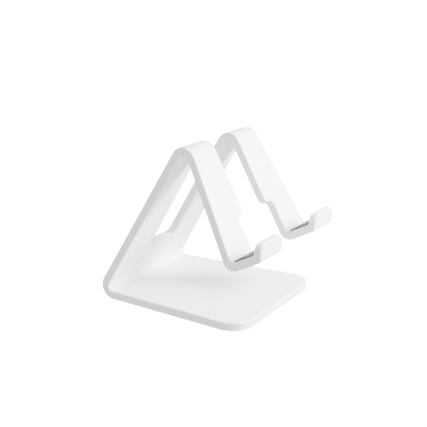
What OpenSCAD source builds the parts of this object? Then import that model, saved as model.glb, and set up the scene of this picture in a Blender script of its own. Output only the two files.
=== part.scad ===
// Tablet stand: one bent plate with two hooked arms, rubber seat pads and rubber feet.
// The origin is on the table, under the middle of the stand. Front is -Y, up is +Z.
//
// The plate is a strip folded along its length: base, leg, arms, trays and lips. Its side view is
// drawn once and made wide. The widths, the slot and the gap between the arms are then cut away.
// Lengths run from corner to corner, as if the bends were sharp.

/* [Plate] */
// Thickness of the plate
plate_t = 5; // [4:0.5:6]
// Radius inside the rear and top bends
bend_r = 3; // [2:0.5:4]

/* [Base] */
// Length from the rear corner to the front edge
base_l = 104; // [96:1:110]
// Width at the front edge
front_w = 91; // [84:1:96]
// Width at the rear bend
rear_w = 80; // [76:1:84]
// Radius of the two front corners
base_corner_r = 13; // [4:1:16]

/* [Leg] */
// Length of the leg
leg_l = 121; // [115:1:130]
// Lean of the leg from upright, forward over the base
leg_lean = 30.6; // [28:0.2:32]
// Width over the top bend
top_w = 71; // [66:1:76]

/* [Slot] */
// Width of the slot in the leg, the top bend and the upper arms
slot_w = 25; // [20:1:28]
// Height of the closed end of the slot, measured along the leg
slot_start = 35; // [32:1:48]
// Radius of the two corners at the closed end
slot_corner_r = 3; // [2:1:9]
// Width of the gap between the hooks
gap_w = 40; // [36:1:44]

/* [Arms] */
// Length of the arms
arm_l = 74.2; // [70:0.2:78]
// Lean of the arms from upright
arm_lean = 28.8; // [27:0.2:31]
// Width over both hooks
hook_w = 88; // [80:1:90]
// Distance from the top corner to the shoulders, where the slot opens into the gap
shoulder_at = 53; // [46:1:56]

/* [Hooks] */
// Radius inside the knee, the bend between an arm and its tray
knee_r = 1.5; // [0.5:0.5:4]
// Depth of the tray, from the arm to the lip
tray_l = 15; // [12:0.5:18]
// Rise of the tray towards the front
tray_rise = 27.7; // [24:0.2:32]
// Height of the lip above the tray
lip_h = 6.5; // [6:0.5:12]
// Thickness of the lip
lip_t = 4.4; // [3:0.2:5]
// Forward lean of the lip
lip_lean = 3; // [0:0.5:6]
// Radius of the lip's two upper corners
lip_corner_r = 4.5; // [2:0.5:6]
// Radius of the rounded edge under the lip
lip_edge_r = 3; // [1:0.5:4]

/* [Rubber] */
// Thickness of the seat pads
pad_t = 0.8; // [0.6:0.1:2]
// Distance of the seat pads from the edges of the tray
pad_inset = 0.6; // [0.4:0.1:1.5]
// Radius of the seat pads' corners
pad_corner_r = 1.2; // [0.5:0.1:2]
// Diameter of the feet
foot_d = 12; // [8:1:14]
// Thickness of the feet
foot_t = 1.5; // [1:0.1:2.5]
// Distance from the edges of the base to the middle of a foot
foot_inset = 12; // [9:1:16]

/* [Hidden] */
$fn = 96;

// Direction of each stretch in the side view, in degrees from the rear (+Y) towards up (+Z)
base_dir = 0;
leg_dir = 90 + leg_lean;
arm_dir = 270 - arm_lean;
tray_dir = 180 - tray_rise;
lip_dir = 90 + lip_lean;

// The rear and top bends turn the strip up and keep its first face, the one under the base, on
// their outside. The knee turns it back.
outer_r = bend_r + plate_t;
knee_outer_r = knee_r + plate_t;
rear_setback = outer_r * tan((leg_dir - base_dir) / 2);
top_setback = outer_r * tan((arm_dir - leg_dir) / 2);
knee_setback = knee_r * tan((arm_dir - tray_dir) / 2);
tray_flat = tray_l - knee_setback;

// How far a cut runs past what it cuts
cut = 1;
// Half width that everything stays within
reach = 60;
// Depth of the hooks in front of the arms, with room to spare
hook_reach = 30;
// Extra radius that lets a round cross the faces beside it instead of only touching them
hair = 0.002;
// Step on each side from the slot out to the gap, and the radius of its two curves. Each takes a
// little less than half of the step, so that a short straight is left between them.
shoulder_step = (gap_w - slot_w) / 2;
shoulder_share = 0.45;
shoulder_r = shoulder_share * shoulder_step;
// Distance from the rear bend to the rear feet
rear_foot_gap = 1;

// Points of the side view, as [y, z]

function dir(a) = [cos(a), sin(a)];
function left(a) = [-sin(a), cos(a)];

// Corners of the strip's first face
rear_corner = [0, 0];
front_corner = rear_corner - base_l * dir(base_dir);
top_corner = rear_corner + leg_l * dir(leg_dir);
knee_corner = top_corner + arm_l * dir(arm_dir);
root_corner = knee_corner + tray_l * dir(tray_dir);
tip_corner = root_corner + lip_h * dir(lip_dir);

// Corner of the second face, where the offsets by t1 and t2 to the left of a1 and a2 meet
function inner(corner, a1, t1, a2, t2) =
    let (c = cos(a2 - a1))
    corner + (t1 * (left(a1) - c * left(a2)) + t2 * (left(a2) - c * left(a1))) / (1 - c * c);

inner_rear = inner(rear_corner, base_dir, plate_t, leg_dir, plate_t);
inner_top = inner(top_corner, leg_dir, plate_t, arm_dir, plate_t);
under_knee = inner(knee_corner, arm_dir, plate_t, tray_dir, plate_t);
under_root = inner(root_corner, tray_dir, plate_t, lip_dir, lip_t);

// Where flats start and end beside the bends, and the centre of the top bend
leg_start = rear_corner + rear_setback * dir(leg_dir);
arm_end = knee_corner - knee_setback * dir(arm_dir);
tray_start = knee_corner + knee_setback * dir(tray_dir);
top_centre = top_corner + top_setback * dir(arm_dir) + outer_r * left(arm_dir);

// Ends of the slot in the leg and in the arms
slot_end = rear_corner + slot_start * dir(leg_dir);
shoulder = top_corner + shoulder_at * dir(arm_dir);

// The furthest points to the rear and the front are centred on the origin
rearmost_y = outer_r - rear_setback;
foremost_y = (tip_corner + lip_t * left(lip_dir))[0];
rear_corner_y = -(rearmost_y + foremost_y) / 2;
front_edge_y = rear_corner_y - base_l;
rear_feet_y = rear_corner_y - rear_setback - rear_foot_gap - foot_d / 2;
front_feet_y = front_edge_y + foot_inset;

// Shapes shared by the cuts

module both_sides() {
    children();
    mirror([1, 0, 0]) children();
}

// The area between a corner and the circle that rounds it, widened past the corner's two sides.
// a1 and a2 are the directions from the corner along its sides.
module corner_web(corner, a1, a2, r) {
    half = (a2 - a1) / 2;
    centre = corner + r / sin(abs(half)) * dir(a1 + half);
    side_1 = corner + r / tan(abs(half)) * dir(a1);
    side_2 = corner + r / tan(abs(half)) * dir(a2);
    widen = 1 + cut / r;
    difference() {
        polygon([centre, centre + widen * (side_1 - centre), centre + widen * (corner - centre),
                 centre + widen * (side_2 - centre)]);
        translate(centre) circle(r + hair);
    }
}

// Makes a side view w wide
module across(w) {
    translate([-w / 2, rear_corner_y, foot_t]) rotate([90, 0, 90]) linear_extrude(w) children();
}

// Puts a flat shape on the strip's first face at a point of the side view, X across and Y along
// the strip, and takes it through the strip from z0 to z1
module through(point, direction, z0, z1) {
    translate([0, rear_corner_y + point[0], foot_t + point[1]]) rotate([direction, 0, 0])
        translate([0, 0, z0]) linear_extrude(z1 - z0) children();
}

// The strip in the side view, with sharp bends, and what rounds its bends

module sharp_strip() {
    polygon([
        front_corner, rear_corner, top_corner, knee_corner, root_corner, tip_corner,
        tip_corner + lip_t * left(lip_dir), under_root, under_knee, inner_top, inner_rear,
        front_corner + plate_t * left(base_dir)
    ]);
}

module inner_rounds() {
    corner_web(inner_rear, leg_dir, base_dir + 180, bend_r);
    corner_web(inner_top, arm_dir, leg_dir + 180, bend_r);
    corner_web(knee_corner, tray_dir, arm_dir - 180, knee_r);
}

module outer_rounds() {
    corner_web(rear_corner, leg_dir, base_dir + 180, outer_r);
    corner_web(top_corner, arm_dir, leg_dir + 180, outer_r);
    corner_web(under_knee, tray_dir, arm_dir - 180, knee_outer_r);
    corner_web(under_root, lip_dir, tray_dir - 180, lip_edge_r);
}

// What is cut away

// Beside the base: it widens from the rear bend to the front and has round front corners
module beside_base() {
    flat_end_y = rear_corner_y - rear_setback;
    flare = atan((front_w - rear_w) / 2 / (flat_end_y - front_edge_y));
    translate([0, 0, foot_t - cut]) linear_extrude(outer_r + cut) both_sides() {
        polygon([
            [front_w / 2 + cut * tan(flare), front_edge_y - cut], [rear_w / 2, flat_end_y],
            [rear_w / 2, rear_corner_y + outer_r], [reach, rear_corner_y + outer_r],
            [reach, front_edge_y - cut]
        ]);
        corner_web([front_w / 2, front_edge_y], 90 + flare, 180, base_corner_r);
    }
}

// Beside the leg or the arms, seen from the front: w1 wide up to z1 and w2 wide from z2
module beside(y0, y1, w1, z1, w2, z2) {
    low = foot_t + plate_t + cut;
    high = foot_t + top_corner[1];
    translate([0, y1, 0]) rotate([90, 0, 0]) linear_extrude(y1 - y0) both_sides() polygon([
        [w1 / 2, low], [w1 / 2, foot_t + z1], [w2 / 2, foot_t + z2], [w2 / 2, high],
        [reach, high], [reach, low]
    ]);
}

// The slot up the leg, over the top and down the arms, with round lower corners
module slot() {
    past_shoulder = shoulder + 2 * cut * dir(arm_dir);
    difference() {
        across(slot_w) polygon([
            slot_end - cut * left(leg_dir), slot_end + (plate_t + cut) * left(leg_dir),
            past_shoulder + (plate_t + cut) * left(arm_dir), past_shoulder - cut * left(arm_dir),
            top_corner - cut * left(arm_dir), top_corner - cut * left(leg_dir)
        ]);
        through(slot_end, leg_dir, -2 * cut, plate_t + 2 * cut) both_sides()
            corner_web([slot_w / 2, 0], 180, 90, slot_corner_r);
    }
}

// The gap between the arms from the shoulders down, with curves that lead into it from the slot
module gap() {
    below = knee_corner + (plate_t + 2 * cut) * dir(arm_dir);
    difference() {
        across(gap_w) polygon([
            shoulder - hook_reach * left(arm_dir), below - hook_reach * left(arm_dir),
            below + (plate_t + cut) * left(arm_dir), shoulder + (plate_t + cut) * left(arm_dir)
        ]);
        through(shoulder, arm_dir, -2 * cut, plate_t + 2 * cut) both_sides()
            corner_web([gap_w / 2, 0], 180, 90, shoulder_r);
    }
    through(shoulder, arm_dir, -cut, plate_t + cut) both_sides()
        corner_web([slot_w / 2, 0], -90, 0, shoulder_r);
}

// The upper corners of the lips
module lip_corners() {
    through(root_corner, lip_dir, -cut, lip_t + cut) both_sides() {
        corner_web([gap_w / 2, lip_h], -90, 0, lip_corner_r);
        corner_web([hook_w / 2, lip_h], 180, 270, lip_corner_r);
    }
}

// Pieces

module stand_body() {
    split_y = rear_corner_y + top_centre[0];
    rear_y = rear_corner_y + outer_r;
    front_y = rear_corner_y + foremost_y - cut;
    color("white") difference() {
        union() {
            across(2 * (reach - cut)) sharp_strip();
            across(2 * (reach - cut)) inner_rounds();
        }
        across(2 * reach) outer_rounds();
        beside_base();
        beside(split_y, rear_y, rear_w, leg_start[1], top_w, top_centre[1]);
        beside(front_y, split_y, hook_w, arm_end[1], top_w, top_centre[1]);
        slot();
        gap();
        lip_corners();
    }
}

// Thin rubber pad on the tray of the right arm
module right_seat_pad() {
    r = pad_corner_r;
    w = (hook_w - gap_w) / 2 - 2 * pad_inset;
    l = tray_flat - pad_inset;
    color("dimgray") through(tray_start, tray_dir, -pad_t, 0) translate([gap_w / 2 + pad_inset, 0]) {
        translate([r, 0]) square([w - 2 * r, l]);
        translate([0, r]) square([w, l - 2 * r]);
        for (x = [r, w - r], y = [r, l - r]) {
            translate([x, y]) circle(r);
        }
    }
}

module seat_pad_left() {
    mirror([1, 0, 0]) right_seat_pad();
}

module seat_pad_right() {
    right_seat_pad();
}

// Round rubber foot under the base
module foot(x, y) {
    color("dimgray") translate([x, y, 0]) cylinder(d = foot_d, h = foot_t);
}

module foot_front_left() {
    foot(foot_inset - front_w / 2, front_feet_y);
}

module foot_front_right() {
    foot(front_w / 2 - foot_inset, front_feet_y);
}

module foot_rear_left() {
    foot(foot_inset - rear_w / 2, rear_feet_y);
}

module foot_rear_right() {
    foot(rear_w / 2 - foot_inset, rear_feet_y);
}

stand_body();
seat_pad_left();
seat_pad_right();
foot_front_left();
foot_front_right();
foot_rear_left();
foot_rear_right();
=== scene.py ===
"""Tablet stand: one bent white plate with hooked arms, rubber seat pads and rubber feet.

The plate is made as a flat blank with rounded edges, which is then folded along its length.
Shapes are worked out in millimetres and placed in the frame in metres.
"""
import bisect
import math

import bmesh
import bpy
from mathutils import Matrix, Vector


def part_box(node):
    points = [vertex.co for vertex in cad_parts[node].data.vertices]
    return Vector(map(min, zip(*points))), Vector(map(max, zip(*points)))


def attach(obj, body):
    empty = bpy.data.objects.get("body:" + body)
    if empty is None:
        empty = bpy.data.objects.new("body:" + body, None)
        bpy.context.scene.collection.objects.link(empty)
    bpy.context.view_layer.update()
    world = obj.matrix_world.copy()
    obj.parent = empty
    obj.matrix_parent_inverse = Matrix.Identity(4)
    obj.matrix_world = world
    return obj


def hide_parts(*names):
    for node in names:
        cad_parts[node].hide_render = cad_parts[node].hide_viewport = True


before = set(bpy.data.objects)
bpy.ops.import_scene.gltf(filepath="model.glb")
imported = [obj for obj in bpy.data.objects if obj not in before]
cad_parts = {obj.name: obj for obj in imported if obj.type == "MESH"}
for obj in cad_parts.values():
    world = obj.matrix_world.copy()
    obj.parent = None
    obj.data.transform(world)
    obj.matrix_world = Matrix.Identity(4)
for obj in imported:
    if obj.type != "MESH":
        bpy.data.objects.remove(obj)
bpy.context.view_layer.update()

MM = 0.001

# ---------------------------------------------------------------- sizes, in mm and degrees

# Lengths along the plate run from corner to corner, as if its bends were sharp. The slot starts
# that far up the leg from the rear corner, and the shoulders are that far down the arms from the
# top corner. Leans are from upright.
PLATE_T = 5.0
BEND_R = 3.0
BASE_L = 104.0
FRONT_W = 91.0
REAR_W = 80.0
BASE_CORNER_R = 13.0
LEG_L = 121.0
LEG_LEAN = 30.6
TOP_W = 71.0
SLOT_W = 25.0
SLOT_START = 35.0
SLOT_CORNER_R = 3.0
GAP_W = 40.0
ARM_L = 74.2
ARM_LEAN = 28.8
HOOK_W = 88.0
SHOULDER_AT = 53.0
# Part of the step from the slot out to the gap that each of its two curves takes
SHOULDER_SHARE = 0.45
KNEE_R = 1.5
TRAY_L = 15.0
TRAY_RISE = 27.7
LIP_H = 6.5
LIP_T = 4.4
LIP_LEAN = 3.0
LIP_CORNER_R = 4.5
LIP_EDGE_R = 3.0
LIP_ROOT_R = 0.5
PAD_T = 0.8
PAD_INSET = 0.6
PAD_CORNER_R = 1.2
FOOT_D = 12.0
FOOT_DISH_D = 8.0
FOOT_DISH_DEPTH = 0.3

# Radius of the softened edges of the plate, of the pads and of the feet
PLATE_EDGE_R = 0.9
PAD_EDGE_R = 0.35
FOOT_EDGE_R = 0.4

# Steps of a quarter round along an edge, of a rounded corner and around a foot
EDGE_STEPS = 5
CORNER_STEPS = 14
FOOT_STEPS = 64
# Degrees to a step in a bend
BEND_STEP = 3.0
# How often a stretch is halved in the search for the place at a height
HALVINGS = 40
# Points this near to a fold already count as on it
FOLD_TOLERANCE = 1e-5

# Directions of the stretches in the side view, in degrees from the rear towards up
BASE_DIR = 0.0
LEG_DIR = 90.0 + LEG_LEAN
ARM_DIR = 270.0 - ARM_LEAN
TRAY_DIR = 180.0 - TRAY_RISE
LIP_DIR = 90.0 + LIP_LEAN

# Radius outside the rear and top bends, under the knee, and of the shoulders' curves
OUTER_R = BEND_R + PLATE_T
KNEE_OUTER_R = KNEE_R + PLATE_T
SHOULDER_R = SHOULDER_SHARE * (GAP_W - SLOT_W) / 2


def along(angle):
    """Unit vector of the side view, as (y, z)."""
    return Vector((math.cos(math.radians(angle)), math.sin(math.radians(angle))))


def left_of(angle):
    """Unit vector a quarter turn to the left of a direction."""
    return along(angle + 90.0)


def setback(radius, turn):
    """How far from a corner its round of that radius starts."""
    return radius * math.tan(math.radians(turn / 2))


def offset_corner(corner, dir_1, t_1, dir_2, t_2):
    """Where the two sides of a corner meet once they are moved t_1 and t_2 to their left."""
    n_1, n_2 = left_of(dir_1), left_of(dir_2)
    c = n_1.dot(n_2)
    return corner + (n_1 * (t_1 - c * t_2) + n_2 * (t_2 - c * t_1)) / (1 - c * c)


REAR_SETBACK = setback(OUTER_R, LEG_DIR - BASE_DIR)
TOP_SETBACK = setback(OUTER_R, ARM_DIR - LEG_DIR)
KNEE_SETBACK = setback(KNEE_R, ARM_DIR - TRAY_DIR)

rear_corner = Vector((0.0, 0.0))
front_corner = rear_corner - BASE_L * along(BASE_DIR)
top_corner = rear_corner + LEG_L * along(LEG_DIR)
knee_corner = top_corner + ARM_L * along(ARM_DIR)
root_corner = knee_corner + TRAY_L * along(TRAY_DIR)
tip_corner = root_corner + LIP_H * along(LIP_DIR)
under_root = offset_corner(root_corner, TRAY_DIR, PLATE_T, LIP_DIR, LIP_T)

# Where the rear corner is in the frame
body_low, body_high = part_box("stand_body")
REAR_Y = body_high[1] / MM - (OUTER_R - REAR_SETBACK)
BASE_Z = body_low[2] / MM


def in_frame(x, point):
    """A place x across and at a point of the side view, in metres in the frame."""
    return Vector((x, REAR_Y + point[0], BASE_Z + point[1])) * MM


# ---------------------------------------------------------------- the folded strip


class Strip:
    """The side view as pairs of points, one on each face, in order along the strip."""

    def __init__(self):
        self.s = []
        self.first = []
        self.second = []

    def add(self, first, second):
        """Adds a pair of points and returns how far along the middle of the strip it is."""
        if self.s:
            before = (self.first[-1] + self.second[-1]) / 2
            self.s.append(self.s[-1] + ((first + second) / 2 - before).length)
        else:
            self.s.append(0.0)
        self.first.append(first)
        self.second.append(second)
        return self.s[-1]

    def bend(self, corner_1, corner_2, dir_1, dir_2, r_1, r_2):
        """Adds a bend, with its corner and radius on each face, and returns where it starts and ends."""
        turn = dir_2 - dir_1
        side = 1 if turn > 0 else -1
        centre_1 = corner_1 - setback(r_1, abs(turn)) * along(dir_1) + side * r_1 * left_of(dir_1)
        centre_2 = corner_2 - setback(r_2, abs(turn)) * along(dir_1) + side * r_2 * left_of(dir_1)
        steps = round(abs(turn) / BEND_STEP)
        ends = []
        for i in range(steps + 1):
            n = side * left_of(dir_1 + turn * i / steps)
            ends.append(self.add(centre_1 - r_1 * n, centre_2 - r_2 * n))
        return ends[0], ends[-1]

    def point(self, s, depth):
        """Point of the side view at s along the strip, depth from 0 on the first face to 1."""
        i = min(max(bisect.bisect_right(self.s, s) - 1, 0), len(self.s) - 2)
        k = (s - self.s[i]) / (self.s[i + 1] - self.s[i])
        first = self.first[i].lerp(self.first[i + 1], k)
        second = self.second[i].lerp(self.second[i + 1], k)
        return first.lerp(second, depth)

    def s_at_height(self, height, s_from, s_to):
        """Where the middle of the strip is at that height, between two places along it."""
        low, high = s_from, s_to
        rising = self.point(high, 0.5)[1] > self.point(low, 0.5)[1]
        for _ in range(HALVINGS):
            mid = (low + high) / 2
            if (self.point(mid, 0.5)[1] < height) == rising:
                low = mid
            else:
                high = mid
        return low


strip = Strip()
strip.add(front_corner, front_corner + PLATE_T * left_of(BASE_DIR))
inner_rear = offset_corner(rear_corner, BASE_DIR, PLATE_T, LEG_DIR, PLATE_T)
inner_top = offset_corner(top_corner, LEG_DIR, PLATE_T, ARM_DIR, PLATE_T)
under_knee = offset_corner(knee_corner, ARM_DIR, PLATE_T, TRAY_DIR, PLATE_T)
s_base_end, s_leg_start = strip.bend(rear_corner, inner_rear, BASE_DIR, LEG_DIR, OUTER_R, BEND_R)
s_leg_end, s_arm_start = strip.bend(top_corner, inner_top, LEG_DIR, ARM_DIR, OUTER_R, BEND_R)
s_arm_end, _ = strip.bend(knee_corner, under_knee, ARM_DIR, TRAY_DIR, KNEE_R, KNEE_OUTER_R)
strip.bend(root_corner, under_root, TRAY_DIR, LIP_DIR, LIP_ROOT_R, LIP_EDGE_R)
s_tip = strip.add(tip_corner, tip_corner + LIP_T * left_of(LIP_DIR))

top_centre_z = (top_corner + TOP_SETBACK * along(ARM_DIR) + OUTER_R * left_of(ARM_DIR))[1]
s_slot_end = s_leg_start + SLOT_START - REAR_SETBACK
s_shoulder = s_arm_start + SHOULDER_AT - TOP_SETBACK

# Right half of the blank's outline: across, along, radius of the corner. It goes up the outer
# edge from the front of the base and comes back down the gap and the slot.
RIGHT_HALF = [
    (FRONT_W / 2, 0.0, BASE_CORNER_R),
    (REAR_W / 2, s_base_end, 0.0),
    (REAR_W / 2, s_leg_start, 0.0),
    (TOP_W / 2, strip.s_at_height(top_centre_z, s_leg_start, s_leg_end), 0.0),
    (TOP_W / 2, strip.s_at_height(top_centre_z, s_arm_start, s_arm_end), 0.0),
    (HOOK_W / 2, s_arm_end, 0.0),
    (HOOK_W / 2, s_tip, LIP_CORNER_R),
    (GAP_W / 2, s_tip, LIP_CORNER_R),
    (GAP_W / 2, s_shoulder, SHOULDER_R),
    (SLOT_W / 2, s_shoulder, SHOULDER_R),
    (SLOT_W / 2, s_slot_end, SLOT_CORNER_R),
]


# ---------------------------------------------------------------- meshes

# Weight that lets the large faces beside a rounded edge set its normals
LARGEST_FACE_WEIGHT = 100


def inset_outline(corners, inset):
    """Points of a closed outline moved inwards. Its corners run counter-clockwise."""
    points = []
    count = len(corners)
    for i, (x, y, radius) in enumerate(corners):
        here = Vector((x, y))
        before = Vector(corners[i - 1][:2])
        after = Vector(corners[(i + 1) % count][:2])
        d_1, d_2 = (here - before).normalized(), (after - here).normalized()
        n_1, n_2 = Vector((-d_1.y, d_1.x)), Vector((-d_2.y, d_2.x))
        corner = here + inset * (n_1 + n_2) / (1 + n_1.dot(n_2))
        if radius == 0.0:
            points.append(corner)
            continue
        turn = math.atan2(d_1.x * d_2.y - d_1.y * d_2.x, d_1.dot(d_2))
        side = 1 if turn > 0 else -1
        r = radius - side * inset
        centre = corner - r * math.tan(abs(turn) / 2) * d_1 + side * r * n_1
        start = math.atan2(-side * n_1.y, -side * n_1.x)
        for k in range(CORNER_STEPS + 1):
            a = start + turn * k / CORNER_STEPS
            points.append(centre + r * Vector((math.cos(a), math.sin(a))))
    return points


def edge_profile(thickness, edge_r):
    """Inset and height of each ring of a slab whose edges are rounded."""
    quarter = []
    for k in range(EDGE_STEPS + 1):
        a = math.pi / 2 * k / EDGE_STEPS
        quarter.append((edge_r * (1 - math.sin(a)), edge_r * (1 - math.cos(a))))
    return quarter + [(inset, thickness - height) for inset, height in reversed(quarter)]


def close_rings(rings):
    """A closed mesh through rings of as many points each, from bottom to top."""
    bm = bmesh.new()
    made = [[bm.verts.new(p) for p in ring] for ring in rings]
    for lower, upper in zip(made, made[1:]):
        for i in range(len(lower)):
            bm.faces.new((lower[i - 1], lower[i], upper[i], upper[i - 1]))
    bm.faces.new(reversed(made[0]))
    bm.faces.new(made[-1])
    return bm


def slab(corners, thickness, edge_r):
    """A flat slab with rounded corners and edges, its lower face at height 0."""
    rings = []
    for inset, height in edge_profile(thickness, edge_r):
        rings.append([(p.x, p.y, height) for p in inset_outline(corners, inset)])
    return close_rings(rings)


def piece(name, bm, material, node):
    """Makes the object, in place, for a CAD node."""
    bmesh.ops.recalc_face_normals(bm, faces=bm.faces)
    for face in bm.faces:
        face.smooth = True
    mesh = bpy.data.meshes.new(name)
    bm.to_mesh(mesh)
    bm.free()
    mesh.materials.append(material)
    obj = bpy.data.objects.new(name, mesh)
    bpy.context.scene.collection.objects.link(obj)
    weighted = obj.modifiers.new("weighted_normals", "WEIGHTED_NORMAL")
    weighted.weight = LARGEST_FACE_WEIGHT
    weighted.keep_sharp = False
    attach(obj, "root")
    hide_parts(node)
    return obj


def make_body(material):
    """The flat blank, cut across at every fold line and then folded."""
    left_half = [(-x, s, r) for x, s, r in reversed(RIGHT_HALF)]
    bm = slab(RIGHT_HALF + left_half, PLATE_T, PLATE_EDGE_R)
    for s in strip.s[1:-1]:
        bmesh.ops.bisect_plane(
            bm, geom=bm.verts[:] + bm.edges[:] + bm.faces[:], dist=FOLD_TOLERANCE,
            plane_co=(0, s, 0), plane_no=(0, 1, 0))
    for v in bm.verts:
        x, s, height = v.co
        v.co = in_frame(x, strip.point(s, height / PLATE_T))
    return piece("plate", bm, material, "stand_body")


def make_pad(side, name, node, material):
    """A rubber pad on its tray. The side is 1 for the right arm and -1 for the left."""
    tray_start = knee_corner + KNEE_SETBACK * along(TRAY_DIR)
    x_0 = GAP_W / 2 + PAD_INSET
    x_1 = HOOK_W / 2 - PAD_INSET
    length = TRAY_L - KNEE_SETBACK - PAD_INSET
    corners = [(x_0, 0, PAD_CORNER_R), (x_1, 0, PAD_CORNER_R),
               (x_1, length, PAD_CORNER_R), (x_0, length, PAD_CORNER_R)]
    bm = slab(corners, PAD_T, PAD_EDGE_R)
    for v in bm.verts:
        x, s, height = v.co
        v.co = in_frame(side * x, tray_start + s * along(TRAY_DIR) - height * left_of(TRAY_DIR))
    return piece(name, bm, material, node)


def make_foot(node, material):
    """A round foot with rounded edges and a shallow dish underneath."""
    low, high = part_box(node)
    centre_x, centre_y = (low[0] + high[0]) / 2, (low[1] + high[1]) / 2
    height = (high[2] - low[2]) / MM
    dish_r = FOOT_DISH_D / 2
    dish_slope = 2 * FOOT_DISH_DEPTH
    profile = [(dish_r - dish_slope, FOOT_DISH_DEPTH), (dish_r, 0.0)]
    profile += [(FOOT_D / 2 - inset, z) for inset, z in edge_profile(height, FOOT_EDGE_R)]
    rings = []
    for radius, z in profile:
        ring = []
        for k in range(FOOT_STEPS):
            a = 2 * math.pi * k / FOOT_STEPS
            ring.append((centre_x + radius * MM * math.cos(a),
                         centre_y + radius * MM * math.sin(a), z * MM))
        rings.append(ring)
    return piece(node.replace("foot", "rubber_foot"), close_rings(rings), material,
                 node)


# ---------------------------------------------------------------- materials

# Noise values between which a colour, or another value, goes from low to high
COLOUR_FADE = (0.35, 0.65)
VALUE_FADE = (0.3, 0.7)


def new_material(name):
    """A node material: returns it with its tree and its shader."""
    material = bpy.data.materials.new(name)
    material.use_nodes = True
    return material, material.node_tree, material.node_tree.nodes["Principled BSDF"]


def noise(tree, scale, detail, rough=0.5):
    """Noise in the object's own space, so that it keeps its real size."""
    place = tree.nodes.new("ShaderNodeTexCoord")
    node = tree.nodes.new("ShaderNodeTexNoise")
    node.inputs["Scale"].default_value = scale
    node.inputs["Detail"].default_value = detail
    node.inputs["Roughness"].default_value = rough
    tree.links.new(place.outputs["Object"], node.inputs["Vector"])
    return node.outputs["Fac"]


def colour_between(tree, fac, low, high):
    """A colour that goes from low to high with the noise."""
    ramp = tree.nodes.new("ShaderNodeValToRGB")
    for element, position, colour in zip(ramp.color_ramp.elements, COLOUR_FADE, (low, high)):
        element.position = position
        element.color = (*colour, 1.0)
    tree.links.new(fac, ramp.inputs["Fac"])
    return ramp.outputs["Color"]


def value_between(tree, fac, low, high):
    """A value that goes from low to high with the noise."""
    node = tree.nodes.new("ShaderNodeMapRange")
    node.inputs["From Min"].default_value = VALUE_FADE[0]
    node.inputs["From Max"].default_value = VALUE_FADE[1]
    node.inputs["To Min"].default_value = low
    node.inputs["To Max"].default_value = high
    tree.links.new(fac, node.inputs["Value"])
    return node.outputs["Result"]


def bump(tree, height, strength, distance, below=None):
    """Unevenness this many metres high, on top of another bump if there is one below."""
    node = tree.nodes.new("ShaderNodeBump")
    node.inputs["Strength"].default_value = strength
    node.inputs["Distance"].default_value = distance
    tree.links.new(height, node.inputs["Height"])
    if below is not None:
        tree.links.new(below, node.inputs["Normal"])
    return node.outputs["Normal"]


def satin_white():
    """Satin white: a faint cloudiness, a fine grain and a softer, wider ripple."""
    material, tree, shader = new_material("satin_white")
    clouds = noise(tree, scale=45.0, detail=3.0)
    white_clouds = colour_between(tree, clouds, low=(0.815, 0.815, 0.805), high=(0.85, 0.85, 0.842))
    tree.links.new(white_clouds, shader.inputs["Base Color"])
    sheen = value_between(tree, noise(tree, scale=160.0, detail=4.0), low=0.36, high=0.46)
    tree.links.new(sheen, shader.inputs["Roughness"])
    ripple = bump(tree, noise(tree, scale=320.0, detail=2.0), strength=0.12, distance=0.0002)
    grain = bump(tree, noise(tree, scale=2600.0, detail=2.0), strength=0.10, distance=0.00006,
                 below=ripple)
    tree.links.new(grain, shader.inputs["Normal"])
    shader.inputs["IOR"].default_value = 1.48
    return material


def rubber(name, low, high):
    """Matte rubber: dusty variation and a fine moulded grain."""
    material, tree, shader = new_material(name)
    dust = colour_between(tree, noise(tree, scale=260.0, detail=5.0), low, high)
    tree.links.new(dust, shader.inputs["Base Color"])
    dullness = value_between(tree, noise(tree, scale=500.0, detail=4.0), low=0.62, high=0.82)
    tree.links.new(dullness, shader.inputs["Roughness"])
    grain = bump(tree, noise(tree, scale=3200.0, detail=3.0, rough=0.7), strength=0.35,
                 distance=0.00012)
    tree.links.new(grain, shader.inputs["Normal"])
    shader.inputs["Specular IOR Level"].default_value = 0.35
    return material


# ---------------------------------------------------------------- the object

white = satin_white()
seat_rubber = rubber("seat_rubber", low=(0.060, 0.057, 0.050), high=(0.088, 0.084, 0.075))
foot_rubber = rubber("foot_rubber", low=(0.035, 0.035, 0.034), high=(0.055, 0.055, 0.053))

make_body(white)
make_pad(-1, "rubber_pad_left", "seat_pad_left", seat_rubber)
make_pad(1, "rubber_pad_right", "seat_pad_right", seat_rubber)
for foot_node in ("foot_front_left", "foot_front_right", "foot_rear_left", "foot_rear_right"):
    make_foot(foot_node, foot_rubber)


# ---------------------------------------------------------------- floor, light and camera

# Half the side of the floor, in metres
FLOOR_HALF = 7.0
# The floor is a lit white sheet, and its own light is kept off the stand
FLOOR_GLOW = 16.0
WORLD_STRENGTH = 1.35


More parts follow.
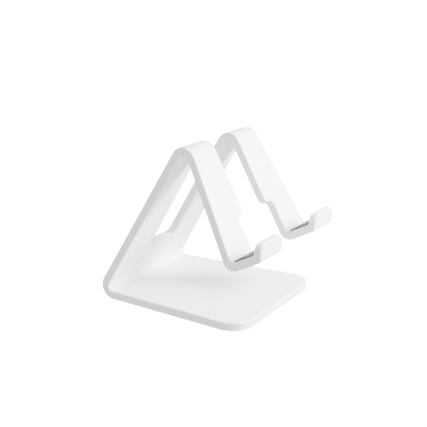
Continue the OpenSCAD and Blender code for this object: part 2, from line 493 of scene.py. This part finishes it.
def make_floor():
    """A wide floor that renders white without lighting the stand."""
    bm = bmesh.new()
    bmesh.ops.create_grid(bm, x_segments=1, y_segments=1, size=FLOOR_HALF)
    mesh = bpy.data.meshes.new("floor")
    bm.to_mesh(mesh)
    bm.free()
    material, tree, shader = new_material("pale_floor")
    paper = colour_between(tree, noise(tree, scale=6.0, detail=3.0), low=(0.935, 0.935, 0.935),
                           high=(0.95, 0.95, 0.95))
    tree.links.new(paper, shader.inputs["Base Color"])
    shader.inputs["Roughness"].default_value = 0.9
    shader.inputs["Specular IOR Level"].default_value = 0.1
    shader.inputs["Emission Color"].default_value = (1.0, 1.0, 1.0, 1.0)
    shader.inputs["Emission Strength"].default_value = FLOOR_GLOW
    mesh.materials.append(material)
    floor = bpy.data.objects.new("floor", mesh)
    floor.visible_diffuse = False
    floor.visible_glossy = False
    bpy.context.scene.collection.objects.link(floor)


def area_light(name, place, target, size, power):
    """A round soft light aimed at the target, its size in metres and its power in watts."""
    light = bpy.data.lights.new(name, "AREA")
    light.shape = "DISK"
    light.size = size
    light.energy = power
    obj = bpy.data.objects.new(name, light)
    obj.location = place
    obj.rotation_euler = (Vector(target) - Vector(place)).to_track_quat("-Z", "Y").to_euler()
    bpy.context.scene.collection.objects.link(obj)


make_floor()
area_light("key", place=(0.26, -0.42, 0.33), target=(0.0, -0.05, 0.05), size=0.20, power=24.0)
area_light("low_key", place=(0.0, -0.46, 0.20), target=(0.0, -0.05, 0.05), size=0.28, power=4.0)
area_light("left_fill", place=(-1.5, 0.1, 0.15), target=(0.0, 0.0, 0.04), size=1.0, power=7.0)

world = bpy.data.worlds.new("studio")
world.use_nodes = True
background = world.node_tree.nodes["Background"]
background.inputs["Color"].default_value = (1.0, 1.0, 1.0, 1.0)
background.inputs["Strength"].default_value = WORLD_STRENGTH
bpy.context.scene.world = world

# The camera's place in metres, its direction as seen from the stand, and its lens in mm
CAMERA_AT = (-0.42502, -0.26239, 0.19828)
CAMERA_AZIMUTH = math.radians(-58.153)
CAMERA_ELEVATION = math.radians(16.357)
CAMERA_LENS = 75.12
SENSOR_WIDTH = 36.0
NEAREST_SEEN = 0.01
camera_data = bpy.data.cameras.new("camera")
camera_data.sensor_width = SENSOR_WIDTH
camera_data.lens = CAMERA_LENS
camera_data.clip_start = NEAREST_SEEN
camera = bpy.data.objects.new("camera", camera_data)
camera.location = CAMERA_AT
backward = Vector((math.sin(CAMERA_AZIMUTH) * math.cos(CAMERA_ELEVATION),
                   -math.cos(CAMERA_AZIMUTH) * math.cos(CAMERA_ELEVATION),
                   math.sin(CAMERA_ELEVATION)))
camera.rotation_euler = (-backward).to_track_quat("-Z", "Y").to_euler()
bpy.context.scene.collection.objects.link(camera)
bpy.context.scene.camera = camera
